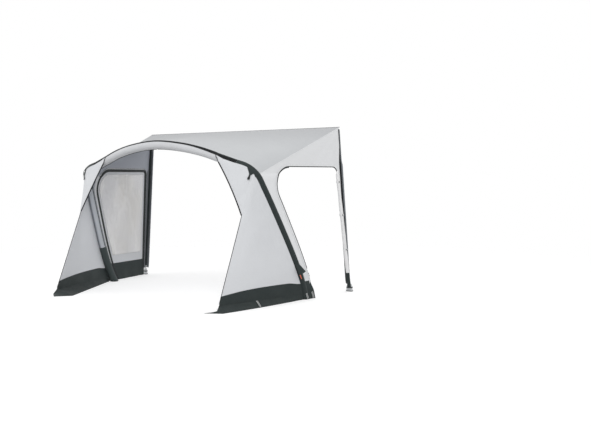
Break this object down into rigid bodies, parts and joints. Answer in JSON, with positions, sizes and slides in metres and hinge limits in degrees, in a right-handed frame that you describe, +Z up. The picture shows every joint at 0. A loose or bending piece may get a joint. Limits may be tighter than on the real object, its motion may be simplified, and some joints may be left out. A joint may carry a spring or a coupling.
{
  "type": "inflatable caravan sunshade",
  "caption": "Inflatable caravan sunshade: sagging cloth roof on an arched air beam, side walls with a zipped window door, splayed front wings, dark skirts and padded rear edges.",
  "frame": {"origin": "centre of the bounding box's base: on the ground, midway between the caravan's wall and the tips of the mud flaps", "axes": "+Z up, +Y towards the caravan, +X to the right seen from the front"},
  "size_m": [4.1149, 2.605, 2.403],
  "materials": {
    "roof_cloth": "matt coated cloth",
    "light_cloth": "matt coated cloth",
    "wing_cloth": "matt coated cloth",
    "dark_cloth": "matt coated cloth",
    "sleeve_cloth": "matt coated cloth",
    "roll_cloth": "matt coated cloth",
    "pad_cloth": "felted cloth over foam",
    "piping_black": "satin",
    "clear_film": "clear film",
    "bladder_film": "smooth film",
    "black_plastic": "satin",
    "grey_plastic": "satin",
    "metal": "satin",
    "tag_red": "matt webbing"
  },
  "bodies": {
    "canopy": {"air_bladder": "bladder_film", "crown_piping": "piping_black", "crown_sleeve": "sleeve_cloth", "left_beam_cuff": "dark_cloth", "left_beam_foot": "black_plastic", "left_corner_gusset": "dark_cloth", "left_door_zip": "piping_black", "left_leg_sleeve": "sleeve_cloth", "left_mud_flap": "dark_cloth", "left_outer_band": "dark_cloth", "left_pole_sleeve": "dark_cloth", "left_rear_pad": "pad_cloth", "left_side_wall": "light_cloth", "left_skirt": "dark_cloth", "left_wing_lower": "wing_cloth", "left_wing_piping": "piping_black", "left_wing_upper": "wing_cloth", "peg_tab_front": "grey_plastic", "peg_tab_leg": "grey_plastic", "peg_tab_rear": "grey_plastic", "rail_bead": "piping_black", "right_beam_cuff": "dark_cloth", "right_beam_foot": "black_plastic", "right_corner_gusset": "dark_cloth", "right_door_roll": "roll_cloth", "right_door_zip": "piping_black", "right_leg_sleeve": "sleeve_cloth", "right_mud_flap": "dark_cloth", "right_outer_band": "dark_cloth", "right_pole_sleeve": "dark_cloth", "right_rear_pad": "pad_cloth", "right_roll_skirt": "dark_cloth", "right_side_wall": "light_cloth", "right_skirt": "dark_cloth", "right_wing_lower": "wing_cloth", "right_wing_piping": "piping_black", "right_wing_upper": "wing_cloth", "roll_tie_low": "dark_cloth", "roll_tie_middle": "dark_cloth", "roll_tie_top": "dark_cloth", "roof_canopy": "roof_cloth", "valve_body": "black_plastic"},
    "left_door": {"left_door_panel": "light_cloth", "left_door_window": "clear_film", "left_door_skirt": "dark_cloth"},
    "left_front_slider": {"left_slider_front": "metal"},
    "left_rear_slider": {"left_slider_rear": "metal"},
    "right_front_slider": {"right_slider": "metal"},
    "left_strap": {"left_storm_strap": "dark_cloth"},
    "right_strap": {"right_storm_strap": "dark_cloth"},
    "left_buckle": {"left_strap_buckle": "black_plastic"},
    "right_buckle": {"right_strap_buckle": "black_plastic"},
    "cap": {"valve_cap": "black_plastic"},
    "plunger": {"valve_plunger": "grey_plastic"},
    "flap": {"valve_flap": "dark_cloth", "valve_tag": "tag_red"},
    "left_rear_leg": {"left_rear_pole": "metal", "left_rear_foot": "grey_plastic"},
    "right_rear_leg": {"right_rear_pole": "metal", "right_rear_foot": "grey_plastic"}
  },
  "joints": [
    {"name": "left_door_swing", "type": "hinge", "parent": "canopy", "child": "left_door", "pos_m": [-2.00649, 1.2257, 0], "axis": [-0.0766, 0.029, -0.9966], "range_deg": [0, 85]},
    {"name": "left_front_slider_slide", "type": "slide", "parent": "canopy", "child": "left_front_slider", "axis": [0.0877, -0.386, 0.9183], "range_m": [0, 0.25]},
    {"name": "left_rear_slider_slide", "type": "slide", "parent": "canopy", "child": "left_rear_slider", "axis": [0.0729, -0.029, 0.9969], "range_m": [0, 0.25]},
    {"name": "right_front_slider_slide", "type": "slide", "parent": "canopy", "child": "right_front_slider", "axis": [-0.0877, -0.386, 0.9183], "range_m": [0, 0.25]},
    {"name": "left_strap_swing", "type": "hinge", "parent": "canopy", "child": "left_strap", "pos_m": [-1.51127, -0.53687, 1.69847], "axis": [-0.8801, 0.3408, -0.3305], "range_deg": [0, 110]},
    {"name": "right_strap_swing", "type": "hinge", "parent": "canopy", "child": "right_strap", "pos_m": [1.51127, -0.53687, 1.69847], "axis": [-0.8801, -0.3408, 0.3305], "range_deg": [0, 110]},
    {"name": "left_buckle_slide", "type": "slide", "parent": "left_strap", "child": "left_buckle", "axis": [-0.2202, 0.3236, 0.9202], "range_m": [-0.004, 0.008]},
    {"name": "right_buckle_slide", "type": "slide", "parent": "right_strap", "child": "right_buckle", "axis": [0.2202, 0.3236, 0.9202], "range_m": [-0.004, 0.008]},
    {"name": "valve_cap_turn", "type": "hinge", "parent": "canopy", "child": "cap", "pos_m": [1.85523, 0.10889, 0.44053], "axis": [0.9016, -0.4229, -0.0909], "range_deg": [0, 90]},
    {"name": "valve_plunger_press", "type": "slide", "parent": "canopy", "child": "plunger", "axis": [0.9016, -0.4229, -0.0909], "range_m": [-0.003, 0], "stiffness_N_per_m": 300, "springref_m": 0.001},
    {"name": "valve_flap_lift", "type": "hinge", "parent": "canopy", "child": "flap", "pos_m": [1.84857, 0.08148, 0.50086], "axis": [-0.4204, -0.8076, -0.4134], "range_deg": [0, 120]},
    {"name": "left_rear_leg_slide", "type": "slide", "parent": "canopy", "child": "left_rear_leg", "axis": [-0.0722, 0, -0.9974], "range_m": [0, 0.1]},
    {"name": "right_rear_leg_slide", "type": "slide", "parent": "canopy", "child": "right_rear_leg", "axis": [0.0722, 0, -0.9974], "range_m": [0, 0.1]}
  ]
}
